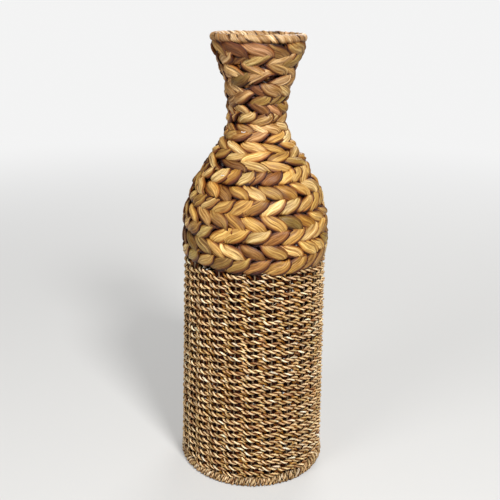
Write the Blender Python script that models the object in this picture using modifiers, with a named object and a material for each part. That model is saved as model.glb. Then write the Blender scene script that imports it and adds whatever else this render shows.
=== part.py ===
"""Bottle-shaped floor vase, woven over a welded wire frame.

The straight body is a plain weave of two seagrass ropes. The shoulder, neck and mouth are rows of two
water-hyacinth strips, twined round the uprights. Metres, +Z up, origin at the middle of the foot.
"""
import math

import bmesh
import bpy

# Heights above the floor
WAIST_RING_Z = 0.3130
SHOULDER_START_Z = 0.3350
SHOULDER_RING_Z = 0.4330
NECK_Z = 0.4970
RIM_RING_Z = 0.5942

# Radii of the surface that the uprights lie in, and the outline's curves
BODY_RADIUS = 0.0905
BODY_TAPER = 0.0070
NECK_RADIUS = 0.0304
RIM_RADIUS = 0.0560
SHOULDER_FULLNESS = 1.35
FLARE_POWER = 1.80

# Welded wire frame
LONG_UPRIGHTS = 12
UPRIGHT_DIAMETER = 0.0025
RING_DIAMETER = 0.0030
WIRE_SIDES = 3
WELD_DEPTH = 0.0013

# Seagrass rope
ROPE_DIAMETER = 0.0049

# Hyacinth strips, each one widest where it passes an upright and pinched where it crosses its twin
SHOULDER_ROWS = 7
NECK_ROWS = 13
STRIP_WIDTH_SHARE = 0.77
STRIP_THICKNESS = 0.0042
STRIP_PINCH = 0.56

# Clearances between touching pieces
ROW_CLEARANCE = 0.00037
WEAVE_CLEARANCE = 0.0005
TWINE_CLEARANCE = 0.0015
SEAT_CLEARANCE = 0.0003

# Bindings of the rim and the foot
RIM_WRAP_RADIUS = 0.0060
RIM_WRAP_TURNS = 24
FOOT_WRAP_RADIUS = 0.0064
FOOT_WRAP_TURNS = 24
WRAP_SIDES = 6
WRAP_GROOVE = 0.10
FOOT_FLAT_DEPTH = 0.0005

# Woven base panel
BASE_THICKNESS = 0.0044
BASE_Z = 0.0060
BASE_RIDGES = 4
BASE_RIDGE_DEPTH = 0.0008

# Mesh making
OUTLINE_STEPS = 40
HALVINGS = 30
ROWS_PER_RUN = 2
WELD_DISTANCE = 0.00001
AXIS_WELD_DISTANCE = 0.0001

# Material colours
WIRE_COLOUR = (0.62, 0.58, 0.50)
SEAGRASS_COLOUR = (0.42, 0.32, 0.17)
HYACINTH_COLOUR = (0.52, 0.34, 0.13)

FULL_TURN = 2 * math.pi
UPRIGHTS = 2 * LONG_UPRIGHTS
FOOT_RADIUS = BODY_RADIUS + BODY_TAPER
FOOT_WRAP_TOP = FOOT_WRAP_RADIUS * math.cos(math.pi / WRAP_SIDES)
FOOT_RING_Z = FOOT_WRAP_TOP * (1 - WRAP_GROOVE) - FOOT_FLAT_DEPTH


def outline_radius(z):
    """Radius of the smooth outline: a tapered body, a full shoulder, a neck and a flared mouth."""
    if z <= SHOULDER_START_Z:
        share = (z - FOOT_RING_Z) / (SHOULDER_START_Z - FOOT_RING_Z)
        return FOOT_RADIUS + (BODY_RADIUS - FOOT_RADIUS) * share
    if z <= NECK_Z:
        share = (z - SHOULDER_START_Z) / (NECK_Z - SHOULDER_START_Z)
        fall = 0.5 * (1 + math.cos(math.pi * share ** SHOULDER_FULLNESS))
        return NECK_RADIUS + (BODY_RADIUS - NECK_RADIUS) * fall
    share = (z - NECK_Z) / (RIM_RING_Z - NECK_Z)
    return NECK_RADIUS + (RIM_RADIUS - NECK_RADIUS) * share ** FLARE_POWER


def outline_length(low, high):
    """Length of the smooth outline between two heights."""
    heights = [low + (high - low) * step / OUTLINE_STEPS for step in range(OUTLINE_STEPS + 1)]
    points = [(outline_radius(z), z) for z in heights]
    return sum(math.dist(a, b) for a, b in zip(points, points[1:]))


def height_at_length(low, high, length):
    """Height that lies a given length up the smooth outline, found by halving."""
    start = low
    for _ in range(HALVINGS):
        middle = (low + high) / 2
        if outline_length(start, middle) < length:
            low = middle
        else:
            high = middle
    return low


def row_bands():
    """Straight runs of up to two hyacinth rows: their heights, rows and half turns of the strips."""
    edge = RING_DIAMETER / 2 + SEAT_CLEARANCE
    top = RIM_RING_Z - RIM_WRAP_RADIUS - SEAT_CLEARANCE
    bands = (
        (WAIST_RING_Z + edge, SHOULDER_RING_Z - edge, UPRIGHTS, SHOULDER_ROWS),
        (SHOULDER_RING_Z + edge, top, LONG_UPRIGHTS, NECK_ROWS),
    )
    runs = []
    for low, high, half_turns, rows in bands:
        length = outline_length(low, high)
        for start in range(0, rows, ROWS_PER_RUN):
            end = min(start + ROWS_PER_RUN, rows)
            run_low = height_at_length(low, high, length * start / rows)
            run_high = height_at_length(low, high, length * end / rows)
            runs.append((run_low, run_high, end - start, half_turns))
    return runs


def upright_stations():
    """Heights where the uprights bend, which lie between rows, with the outline's radius there."""
    heights = {FOOT_RING_Z, RIM_RING_Z}
    for low, high, *_ in ROW_RUNS:
        heights.update((low, high))
    return [(z, outline_radius(z)) for z in sorted(heights)]


ROW_RUNS = row_bands()
STATIONS = upright_stations()


def frame_at(z):
    """Radius and slope of an upright at a height."""
    for (low_z, low_r), (high_z, high_r) in zip(STATIONS, STATIONS[1:]):
        if z <= high_z:
            break
    slope = (high_r - low_r) / (high_z - low_z)
    return low_r + slope * (z - low_z), slope


def wall_point(angle, z, out=0.0, along=0.0):
    """Point near the wall: out is square to the uprights, along runs up them."""
    radius, slope = frame_at(z)
    norm = math.hypot(1, slope)
    reach = radius + (out + along * slope) / norm
    height = z + (along - out * slope) / norm
    return (reach * math.cos(angle), reach * math.sin(angle), height)


def remove_everything():
    for thing in list(bpy.data.objects):
        bpy.data.objects.remove(thing)
    for holder in list(bpy.data.collections):
        bpy.data.collections.remove(holder)


def new_collection(name):
    holder = bpy.data.collections.new(name)
    bpy.context.scene.collection.children.link(holder)
    return holder


def material(name, colour, roughness, metallic=0.0):
    """Principled material."""
    finish = bpy.data.materials.new(name)
    finish.use_nodes = True
    shader = finish.node_tree.nodes["Principled BSDF"]
    shader.inputs["Base Color"].default_value = (*colour, 1.0)
    shader.inputs["Roughness"].default_value = roughness
    shader.inputs["Metallic"].default_value = metallic
    finish.diffuse_color = (*colour, 1.0)
    return finish


def mark_as_guide(thing):
    """A guide or cutter isn't part of the vase."""
    thing.hide_render = True
    thing.display_type = "WIRE"


def section(name, points, holder):
    """Closed flat outline for a curve's bevel: x is across the path, y is up."""
    outline = bpy.data.curves.new(name, "CURVE")
    outline.dimensions = "2D"
    spline = outline.splines.new("POLY")
    spline.points.add(len(points) - 1)
    for point, (x, y) in zip(spline.points, points):
        point.co = (x, y, 0, 1)
    spline.use_cyclic_u = True
    thing = bpy.data.objects.new(name, outline)
    holder.objects.link(thing)
    mark_as_guide(thing)
    return thing


def tube(name, points, outline, holder, closed=False, upright_section=True):
    """Tube along (point, scale, tilt) stations, with the section of an outline curve."""
    path = bpy.data.curves.new(name, "CURVE")
    path.dimensions = "3D"
    path.twist_mode = "Z_UP" if upright_section else "MINIMUM"
    path.bevel_mode = "OBJECT"
    path.bevel_object = outline
    path.use_fill_caps = not closed
    spline = path.splines.new("POLY")
    spline.points.add(len(points) - 1)
    for point, (place, scale, tilt) in zip(spline.points, points):
        point.co = (*place, 1)
        point.radius = scale
        point.tilt = tilt
    spline.use_cyclic_u = closed
    thing = bpy.data.objects.new(name, path)
    holder.objects.link(thing)
    return thing


def as_mesh(thing, holder):
    """Mesh copy of a curve object with its caps welded; the curve is removed."""
    graph = bpy.context.evaluated_depsgraph_get()
    solid = bpy.data.meshes.new_from_object(thing.evaluated_get(graph), depsgraph=graph)
    name, place = thing.name, thing.matrix_world.copy()
    bpy.data.objects.remove(thing)
    form = bmesh.new()
    form.from_mesh(solid)
    bmesh.ops.remove_doubles(form, verts=form.verts, dist=WELD_DISTANCE)
    bmesh.ops.recalc_face_normals(form, faces=form.faces)
    form.to_mesh(solid)
    form.free()
    copy = bpy.data.objects.new(name, solid)
    copy.matrix_world = place
    holder.objects.link(copy)
    return copy


def wire_section(name, diameter, holder):
    """Regular polygon with a corner pointing down."""
    radius = diameter / 2
    corners = [-math.pi / 2 - FULL_TURN * side / WIRE_SIDES for side in range(WIRE_SIDES)]
    return section(name, [(radius * math.cos(c), radius * math.sin(c)) for c in corners], holder)


def strand_section(name, thickness, width, holder):
    """Strand with its flat side facing out and a ridge towards the middle of the vase."""
    outer, half = thickness / 2, width / 2
    return section(name, [(outer, half), (outer, -half), (-outer, 0.0)], holder)


def level_ring(name, radius, z, steps, outline, holder):
    stations = []
    for step in range(steps):
        angle = FULL_TURN * step / steps
        stations.append(((radius * math.cos(angle), radius * math.sin(angle), z), 1.0, 0.0))
    return tube(name, stations, outline, holder, closed=True)


def make_frame(parts, guides, finish):
    """Uprights and rings, welded into one body."""
    wires = new_collection("frame_wires")
    upright_section = wire_section("upright_section", UPRIGHT_DIAMETER, guides)
    ring_section = wire_section("ring_section", RING_DIAMETER, guides)
    for count in range(UPRIGHTS):
        angle = FULL_TURN * count / UPRIGHTS
        top = RIM_RING_Z if count % 2 == 0 else SHOULDER_RING_Z
        heights = [z for z, _ in STATIONS if z < top] + [top]
        stations = [(wall_point(angle, z), 1.0, 0.0) for z in heights]
        wire = tube(f"upright_{count:02d}", stations, upright_section, wires, upright_section=False)
        mark_as_guide(as_mesh(wire, wires))
    inset = (UPRIGHT_DIAMETER + RING_DIAMETER) / 2 - WELD_DEPTH
    for name, z in (("waist_ring", WAIST_RING_Z), ("shoulder_ring", SHOULDER_RING_Z)):
        radius, _, height = wall_point(0.0, z, -inset)
        ring = level_ring(name, radius, height, UPRIGHTS, ring_section, wires)
        mark_as_guide(as_mesh(ring, wires))
    rim = level_ring("rim_ring", RIM_RADIUS, RIM_RING_Z, 2 * RIM_WRAP_TURNS, ring_section, wires)
    mark_as_guide(as_mesh(rim, wires))
    foot = level_ring("wire_frame", FOOT_RADIUS, FOOT_RING_Z, 2 * FOOT_WRAP_TURNS, ring_section, parts)
    body = as_mesh(foot, parts)
    weld = body.modifiers.new("weld", "BOOLEAN")
    weld.operation = "UNION"
    weld.solver = "EXACT"
    weld.operand_type = "COLLECTION"
    weld.collection = wires
    body.data.materials.append(finish)


def make_seagrass(parts, guides, finish):
    """Two ropes that climb together, each outside the uprights where the other is inside."""
    rope = strand_section("rope_section", ROPE_DIAMETER, ROPE_DIAMETER, guides)
    swing = (UPRIGHT_DIAMETER + ROPE_DIAMETER) / 2 + WEAVE_CLEARANCE
    edge = ROPE_DIAMETER / 2 + SEAT_CLEARANCE
    low = FOOT_RING_Z + FOOT_WRAP_TOP + edge
    high = WAIST_RING_Z - RING_DIAMETER / 2 - edge
    rows = math.floor((high - low) / (ROPE_DIAMETER + ROW_CLEARANCE))
    climb = 2 * (high - low) / rows
    last = math.floor(UPRIGHTS * (high - low) / climb)
    for letter, start in (("a", 0), ("b", UPRIGHTS // 2)):
        stations = []
        for step in range(last + 1):
            count = start + step
            outside = (count + (letter == "b")) % 2 == 0
            z = low + climb * step / UPRIGHTS
            place = wall_point(FULL_TURN * count / UPRIGHTS, z, swing if outside else -swing)
            stations.append((place, 1.0, 0.0))
        weaver = as_mesh(tube(f"seagrass_weaver_{letter}", stations, rope, parts), parts)
        weaver.data.materials.append(finish)


def strip_stations(z, half_turns, phase, slant, width, row_height):
    """Stations of one strip of a twined row, once round the vase."""
    out_swing = (UPRIGHT_DIAMETER + STRIP_THICKNESS) / 2 + TWINE_CLEARANCE
    along_swing = (row_height - ROW_CLEARANCE - width * STRIP_PINCH) / 2
    lean = math.atan(frame_at(z)[1])
    stations = []
    for step in range(2 * half_turns):
        turn = math.pi * step / 2
        angle = FULL_TURN * step / (2 * half_turns) + phase
        out = out_swing * math.cos(turn)
        along = slant * along_swing * math.sin(turn)
        scale = 1.0 if step % 2 == 0 else STRIP_PINCH
        stations.append((wall_point(angle, z, out, along), scale, lean))
    return stations


def make_hyacinth(parts, guides, finish):
    """Rows of two twined strips; each row slants the other way from the one below."""
    row = 0
    for low, high, rows, half_turns in ROW_RUNS:
        row_height = math.hypot(high - low, frame_at(high)[0] - frame_at(low)[0]) / rows
        width = row_height * STRIP_WIDTH_SHARE
        outline = strand_section(f"strip_section_{row + 1:02d}", STRIP_THICKNESS, width, guides)
        for count in range(rows):
            row += 1
            z = low + (high - low) * (count + 0.5) / rows
            slant = 1 if row % 2 else -1
            for letter, phase in (("a", 0.0), ("b", FULL_TURN / half_turns)):
                stations = strip_stations(z, half_turns, phase, slant, width, row_height)
                name = f"hyacinth_row_{row:02d}{letter}"
                strip = as_mesh(tube(name, stations, outline, parts, closed=True), parts)
                strip.data.materials.append(finish)


def binding(name, radius, z, lean, wrap_radius, turns, opening_up, parts, guides, finish):
    """Ribbed binding round a frame ring, with a groove for the ring and the uprights."""
    side = 1 if opening_up else -1
    groove = (max(UPRIGHT_DIAMETER, RING_DIAMETER) / 2 + SEAT_CLEARANCE) / (1 - WRAP_GROOVE)
    corners = []
    for count in range(WRAP_SIDES):
        turn = math.pi / 2 + math.pi / WRAP_SIDES + FULL_TURN * count / WRAP_SIDES
        corners.append((wrap_radius * math.cos(turn), side * wrap_radius * math.sin(turn)))
    mouth = corners[0][1]
    corners += [(groove, mouth), (groove, -side * groove), (-groove, -side * groove), (-groove, mouth)]
    outline = section(f"{name}_section", corners, guides)
    stations = []
    for step in range(2 * turns):
        angle = FULL_TURN * step / (2 * turns)
        scale = 1.0 if step % 2 == 0 else 1 - WRAP_GROOVE
        place = (radius * math.cos(angle), radius * math.sin(angle), z)
        stations.append((place, scale, lean))
    wrap = as_mesh(tube(name, stations, outline, parts, closed=True), parts)
    wrap.data.materials.append(finish)
    return wrap


def make_bindings(parts, guides, hyacinth, seagrass):
    lean = math.atan(frame_at(RIM_RING_Z)[1])
    binding("rim_wrap", RIM_RADIUS, RIM_RING_Z, lean, RIM_WRAP_RADIUS, RIM_WRAP_TURNS, False,
            parts, guides, hyacinth)
    foot = binding("foot_wrap", FOOT_RADIUS, FOOT_RING_Z, 0.0, FOOT_WRAP_RADIUS, FOOT_WRAP_TURNS, True,
                   parts, guides, seagrass)
    for corner in foot.data.vertices:
        corner.co.z = max(corner.co.z, 0.0)


def make_base(parts, finish):
    """Woven disc inside the foot, turned from a ridged outline."""
    reach = FOOT_RADIUS - FOOT_WRAP_RADIUS - SEAT_CLEARANCE
    ridge = reach / BASE_RIDGES / 2
    low = BASE_Z - BASE_THICKNESS / 2
    high = BASE_Z + BASE_THICKNESS / 2
    points = [(0.0, high)]
    for count in range(1, 2 * BASE_RIDGES):
        drop = BASE_RIDGE_DEPTH if count % 2 else 0.0
        points.append((ridge * count, high - drop))
    points += [(reach, high - BASE_RIDGE_DEPTH), (reach, low), (0.0, low)]
    outline = bpy.data.meshes.new("base_panel")
    edges = [(count, count + 1) for count in range(len(points) - 1)]
    outline.from_pydata([(x, 0.0, z) for x, z in points], edges, [])
    panel = bpy.data.objects.new("base_panel", outline)
    parts.objects.link(panel)
    turn = panel.modifiers.new("turn", "SCREW")
    turn.steps = UPRIGHTS
    turn.render_steps = UPRIGHTS
    turn.use_merge_vertices = True
    turn.merge_threshold = AXIS_WELD_DISTANCE
    turn.use_normal_calculate = False
    outline.materials.append(finish)


def main():
    remove_everything()
    parts = new_collection("floor_vase")
    guides = new_collection("guides")
    wire = material("pale_wire", WIRE_COLOUR, 0.45, 0.6)
    seagrass = material("seagrass_rope", SEAGRASS_COLOUR, 0.80)
    hyacinth = material("water_hyacinth", HYACINTH_COLOUR, 0.62)
    make_frame(parts, guides, wire)
    make_seagrass(parts, guides, seagrass)
    make_hyacinth(parts, guides, hyacinth)
    make_bindings(parts, guides, hyacinth, seagrass)
    make_base(parts, seagrass)


main()
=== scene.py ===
import math
from collections import namedtuple

import bpy
import numpy as np
from mathutils import Matrix


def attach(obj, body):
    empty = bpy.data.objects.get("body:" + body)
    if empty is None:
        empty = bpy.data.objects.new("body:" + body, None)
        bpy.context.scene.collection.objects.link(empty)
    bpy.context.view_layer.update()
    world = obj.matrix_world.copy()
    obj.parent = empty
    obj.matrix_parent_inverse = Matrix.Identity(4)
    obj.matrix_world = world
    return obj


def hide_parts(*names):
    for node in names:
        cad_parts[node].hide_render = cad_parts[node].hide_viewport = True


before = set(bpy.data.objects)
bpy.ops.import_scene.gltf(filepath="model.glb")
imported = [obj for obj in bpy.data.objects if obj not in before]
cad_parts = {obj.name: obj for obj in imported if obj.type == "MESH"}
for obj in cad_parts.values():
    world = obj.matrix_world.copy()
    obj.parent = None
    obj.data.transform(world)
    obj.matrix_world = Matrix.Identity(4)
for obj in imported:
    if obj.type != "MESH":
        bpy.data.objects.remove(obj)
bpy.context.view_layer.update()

FULL_TURN = 2 * math.pi

# Outline and wire frame as in the part, with uprights a little thinner
FOOT_RING_Z = 0.00449
WAIST_RING_Z = 0.3130
SHOULDER_START_Z = 0.3350
SHOULDER_RING_Z = 0.4330
NECK_Z = 0.4970
RIM_RING_Z = 0.5942
FOOT_RADIUS = 0.0975
BODY_RADIUS = 0.0905
NECK_RADIUS = 0.0304
RIM_RADIUS = 0.0560
SHOULDER_FULLNESS = 1.35
FLARE_POWER = 1.80
UPRIGHTS = 24
UPRIGHT_DIAMETER = 0.0022
RING_DIAMETER = 0.0030

# Rows of rope, and bands of strip rows: low edge, high edge, half turns of each strip, rows
ROPE_ROWS = 57
ROPE_LOW_Z = 0.01268
ROPE_HIGH_Z = 0.30875
STRIP_BANDS = ((0.3116, SHOULDER_RING_Z, UPRIGHTS, 7), (SHOULDER_RING_Z, 0.5885, UPRIGHTS // 2, 13))

# Seeds of the random draws
ROPE_SEED = 100
SWAY_SEED = 500
STRIP_SEED = 1000
RIM_SEED = 7
FOOT_SEED = 8
BASE_SEED = 9
FRAY_SEED = 10

# Places in the fibre pattern, so that no two strands look alike
PLY_SHIFT = 7.0
PIECE_SHIFT = 0.6
ROPE_SHIFT = 30.0
ROW_SHIFT = 3.0
TWIN_SHIFT = 1.3
RIM_PLACE = 90.0
FOOT_PLACE = 120.0
BASE_PLACE = 150.0
STAKE_PLACE = 170.0
FRAY_PLACE = 200.0
FRAY_SHIFT = 0.02

OUTLINE_STEPS = 400
SLOPE_STEP = 0.002


def linear(red, green, blue):
    """Linear colour from the 0 to 255 values that a picture shows."""
    return np.array([((c / 255 + 0.055) / 1.055) ** 2.4 for c in (red, green, blue)])


def ease(share):
    """Soft step from 0 to 1."""
    return share * share * (3 - 2 * share)


def smooth(low, high, value):
    return ease(np.clip((value - low) / (high - low), 0, 1))


def step(size, low, high, value):
    """Part of a size: none of it at low, all of it at high. One constant holds all three."""
    return size * smooth(low, high, value)


def toward(colour, other, share):
    return colour + (other - colour) * share


def unit(vectors):
    return vectors / np.linalg.norm(vectors, axis=-1, keepdims=True)


def bend(values, power):
    """Power of the size of the values, with their sign kept."""
    return np.sign(values) * np.abs(values) ** power


def drift(rng, places, spacing, low, high):
    """Random value that changes smoothly along a length, with a knot every spacing."""
    knots = rng.uniform(low, high, int(places.max() / spacing) + 3)
    cell = np.floor(places / spacing).astype(int)
    share = ease(places / spacing - cell)
    return knots[cell] * (1 - share) + knots[cell + 1] * share


def field(rng, rows, columns, down, across):
    """Random value from a grid that repeats down and across, blended smoothly."""
    grid = rng.uniform(-1, 1, (rows, columns))
    i = np.floor(down).astype(int)
    j = np.floor(across).astype(int)
    share, side = ease(down - i), ease(across - j)

    def line(k):
        return grid[k % rows, j % columns] * (1 - side) + grid[k % rows, (j + 1) % columns] * side

    return line(i) * (1 - share) + line(i + 1) * share


def lengths_along(path):
    """Distance along a path at each of its points."""
    return np.concatenate([[0], np.cumsum(np.linalg.norm(np.diff(path, axis=0), axis=1))])


def ring_tangent(path):
    """Direction at each point of a path that closes on itself."""
    return unit(np.roll(path, -1, axis=0) - np.roll(path, 1, axis=0))


def outline_radius(z):
    """Radius of the wall at a height: a tapered body, a full shoulder, a neck and a flared mouth."""
    body_share = (z - FOOT_RING_Z) / (SHOULDER_START_Z - FOOT_RING_Z)
    body = FOOT_RADIUS + (BODY_RADIUS - FOOT_RADIUS) * body_share
    share = np.clip((z - SHOULDER_START_Z) / (NECK_Z - SHOULDER_START_Z), 0, 1)
    fall = 0.5 * (1 + np.cos(np.pi * share ** SHOULDER_FULLNESS))
    shoulder = NECK_RADIUS + (BODY_RADIUS - NECK_RADIUS) * fall
    share = np.clip((z - NECK_Z) / (RIM_RING_Z - NECK_Z), 0, 2)
    flare = NECK_RADIUS + (RIM_RADIUS - NECK_RADIUS) * share ** FLARE_POWER
    return np.where(z <= SHOULDER_START_Z, body, np.where(z <= NECK_Z, shoulder, flare))


def outline_slope(z):
    return (outline_radius(z + SLOPE_STEP) - outline_radius(z - SLOPE_STEP)) / (2 * SLOPE_STEP)


def polar(angle, reach, height):
    """Point at an angle round the axis, at a reach from it and at a height."""
    return np.stack([reach * np.cos(angle), reach * np.sin(angle), height], axis=-1)


def wall_point(angle, z, out=0.0, along=0.0):
    """Point near the wall: out is square to it, along runs up it."""
    z = z + along / np.hypot(1, outline_slope(z))
    slope = outline_slope(z)
    reach = outline_radius(z) + out / np.hypot(1, slope)
    height = z - out * slope / np.hypot(1, slope)
    return polar(*np.broadcast_arrays(angle, reach, height))


def row_places(low, high, rows):
    """Middle height of each row and the rows' height along the wall."""
    z = np.linspace(low, high, OUTLINE_STEPS)
    length = np.concatenate([[0], np.cumsum(np.hypot(np.diff(z), np.diff(outline_radius(z))))])
    middles = (np.arange(rows) + 0.5) / rows * length[-1]
    return np.interp(middles, length, z), length[-1] / rows


# Margins of the even picture layout, and the size of an end cap in either layout
SHEET_SIDE = 0.06
SHEET_EDGE = 0.004
CAP_SHEET = 0.002
CAP_FIBRE = 0.001


def faces_inward(points, corner, middle):
    """True if a tube's faces turn towards its middle line."""
    a, b, c, d = (points[corner[:, k]] for k in range(4))
    return np.einsum("ij,ij->i", np.cross(b - a, d - a), (a + c) / 2 - middle).sum() < 0


def disc(count):
    turn = FULL_TURN * np.arange(count) / count
    return np.stack([np.cos(turn), np.sin(turn)], 1)


class Strands:
    """Tubes of one piece: vertices, faces, colours, fibre coordinates and an even picture layout."""

    def __init__(self):
        self.points, self.tones, self.faces, self.fibre = [], [], [], []
        self.ribbons, self.caps = [], []
        self.count = 0

    def add(self, rings, tones, girth, closed=False, offset=0.0, grain=None):
        """Tube through rings (n, m, 3); fibre runs along it, and offset tells strands apart."""
        n, m = rings.shape[:2]
        middle = rings.mean(axis=1)
        along = lengths_along(np.concatenate([middle, middle[:1]]) if closed else middle)
        spans = n if closed else n - 1
        i, j = np.meshgrid(np.arange(spans), np.arange(m), indexing="ij")
        i, j = i.ravel(), j.ravel()
        ahead, aside = (i + 1) % n * m, (j + 1) % m
        corner = np.stack([i * m + j, i * m + aside, ahead + aside, ahead + j], 1)
        across = np.stack([j, j + 1, j + 1, j], 1) / m
        length = np.stack([along[i], along[i], along[i + 1], along[i + 1]], 1)
        fibre = np.stack([across * girth, length + offset], -1)
        if grain is not None:
            fibre = np.stack([grain[i, j], grain[i, j + 1], grain[i + 1, j + 1], grain[i + 1, j]], 1)
        points = rings.reshape(-1, 3)
        flip = faces_inward(points, corner, middle[i])
        if flip:
            corner, fibre = corner[:, ::-1], fibre[:, ::-1]
        # A long tube is cut into side-by-side ribbons, so that its picture is about square
        ribbons = max(1, min(spans, round(math.sqrt(along[-1] / girth))))
        per = math.ceil(spans / ribbons)
        down = np.stack([i % per, i % per, i % per + 1, i % per + 1], 1) / per
        self.ribbons.append((ribbons, i // per, across, down, flip))
        if not closed:
            first = np.arange(m) + self.count
            last = first + (n - 1) * m
            ends = (first, last[::-1]) if flip else (first[::-1], last)
            self.caps += [(cap, offset) for cap in ends]
        self.faces.append(corner + self.count)
        self.fibre.append(fibre)
        self.points.append(points)
        self.tones.append(tones.reshape(-1, 3))
        self.count += n * m

    def layouts(self):
        """Fibre coordinates and even picture layout of every corner: sides first, then the caps."""
        total = sum(ribbons for ribbons, *_ in self.ribbons)
        sheet, start = [], 0
        for ribbons, ribbon, across, down, flip in self.ribbons:
            u = (start + ribbon[:, None] + SHEET_SIDE + (1 - 2 * SHEET_SIDE) * across) / total
            v = SHEET_EDGE + (1 - 2 * SHEET_EDGE) * down
            uv = np.stack([u, v], -1)
            sheet.append(uv[:, ::-1] if flip else uv)
            start += ribbons
        fibre = [np.concatenate(self.fibre).reshape(-1, 2)]
        sheet = [np.concatenate(sheet).reshape(-1, 2)]
        for count, (cap, offset) in enumerate(self.caps):
            fibre.append(CAP_FIBRE * disc(len(cap)) + [0, offset])
            sheet.append(CAP_SHEET * disc(len(cap)) + [(count % total + 0.5) / total, 0.5])
        return np.concatenate(fibre), np.concatenate(sheet)

    def build(self, name, finish):
        """Object with the tubes' mesh, its colours and its two layouts."""
        quads = np.concatenate(self.faces)
        loops = np.concatenate([quads.ravel()] + [cap for cap, _ in self.caps]).astype(np.int32)
        sizes = np.array([4] * len(quads) + [len(cap) for cap, _ in self.caps])
        points = np.concatenate(self.points)
        mesh = bpy.data.meshes.new(name)
        mesh.vertices.add(len(points))
        mesh.vertices.foreach_set("co", points.astype(np.float32).ravel())
        mesh.loops.add(len(loops))
        mesh.loops.foreach_set("vertex_index", loops)
        mesh.polygons.add(len(sizes))
        starts = np.concatenate([[0], np.cumsum(sizes)[:-1]]).astype(np.int32)
        mesh.polygons.foreach_set("loop_start", starts)
        mesh.update(calc_edges=True)
        for label, values in zip(("fibre", "OFBake"), self.layouts()):
            layer = mesh.uv_layers.new(name=label)
            layer.data.foreach_set("uv", values.astype(np.float32).ravel())
        mesh.validate()
        mesh.polygons.foreach_set("use_smooth", np.ones(len(mesh.polygons), bool))
        tones = np.clip(np.concatenate(self.tones), 0, 1)
        rgba = np.concatenate([tones, np.ones((len(tones), 1))], axis=1)
        layer = mesh.color_attributes.new("tone", "FLOAT_COLOR", "POINT")
        layer.data.foreach_set("color", rgba.astype(np.float32).ravel())
        mesh.materials.append(finish)
        return place_object(name, mesh)


def place_object(name, data):
    thing = bpy.data.objects.new(name, data)
    bpy.context.scene.collection.objects.link(thing)
    return thing


def dress(strands, name, finish, slot, *nodes):
    """Finished piece that rides on the vase and stands for its CAD nodes."""
    piece = strands.build(name, finish)
    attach(piece, "root")
    if nodes:
        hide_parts(*nodes)


STEEP = 0.7
TINY = 1e-9


def round_tube(path, radius, sides, tone, closed=False):
    """Rings and tones of a plain round tube along a path."""
    tangent = ring_tangent(path) if closed else unit(np.gradient(path, axis=0))
    steep = abs(tangent[0, 2]) >= STEEP
    helper = unit(path * [1.0, 1.0, 0.0] + [TINY, 0, 0]) if steep else np.array([0.0, 0.0, 1.0])
    side = unit(np.cross(tangent, helper))
    other = np.cross(tangent, side)
    around = (FULL_TURN * np.arange(sides) / sides)[None, :, None]
    rings = path[:, None] + radius * (np.cos(around) * side[:, None] + np.sin(around) * other[:, None])
    return rings, np.broadcast_to(tone, rings.shape).copy()


# Materials
class Nodes:
    """Node tree of a material or a world."""

    def __init__(self, owner):
        owner.use_nodes = True
        self.tree = owner.node_tree

    def feed(self, node, inputs):
        """Link or set each input, by its name or number."""
        for key, value in inputs.items():
            if isinstance(value, bpy.types.NodeSocket):
                self.tree.links.new(value, node.inputs[key])
            else:
                node.inputs[key].default_value = value
        return node

    def feed_named(self, name, inputs):
        return self.feed(self.tree.nodes[name], inputs)

    def add(self, kind, output, inputs=None, **settings):
        """Output of a new node."""
        node = self.tree.nodes.new("ShaderNode" + kind)
        for name, value in settings.items():
            setattr(node, name, value)
        return self.feed(node, inputs or {}).outputs[output]

    def maths(self, operation, one, two):
        return self.add("Math", "Value", {0: one, 1: two}, operation=operation)

    def remap(self, value, low, high, to_low, to_high):
        return self.add("MapRange", "Result", {
            "Value": value, "From Min": low, "From Max": high, "To Min": to_low, "To Max": to_high})


# Grain of the fibres: range, detail and relief of its noise, and where the warm tint ends
GRAIN_LOW, GRAIN_HIGH = 0.3, 0.7
GRAIN_ROUGHNESS = 0.6
BROAD_DETAIL, FINE_DETAIL = 3.0, 2.0
BROAD_RELIEF, FINE_RELIEF = 0.7, 0.3
BROAD_LIGHTER, FINE_CONTRAST = 0.8, 0.5
SMOOTHER, ROUGHER = 0.08, 0.1
WARM_BELOW, PLAIN_ABOVE = 0.38, 0.6

# Coating of the wire
WIRE_NOISE_SCALE = 350.0
WIRE_NOISE_DETAIL = 3.0
WIRE_STOPS = (0.35, 0.65)
WIRE_METALLIC = 0.15
WIRE_ROUGHNESS = 0.42


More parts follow.
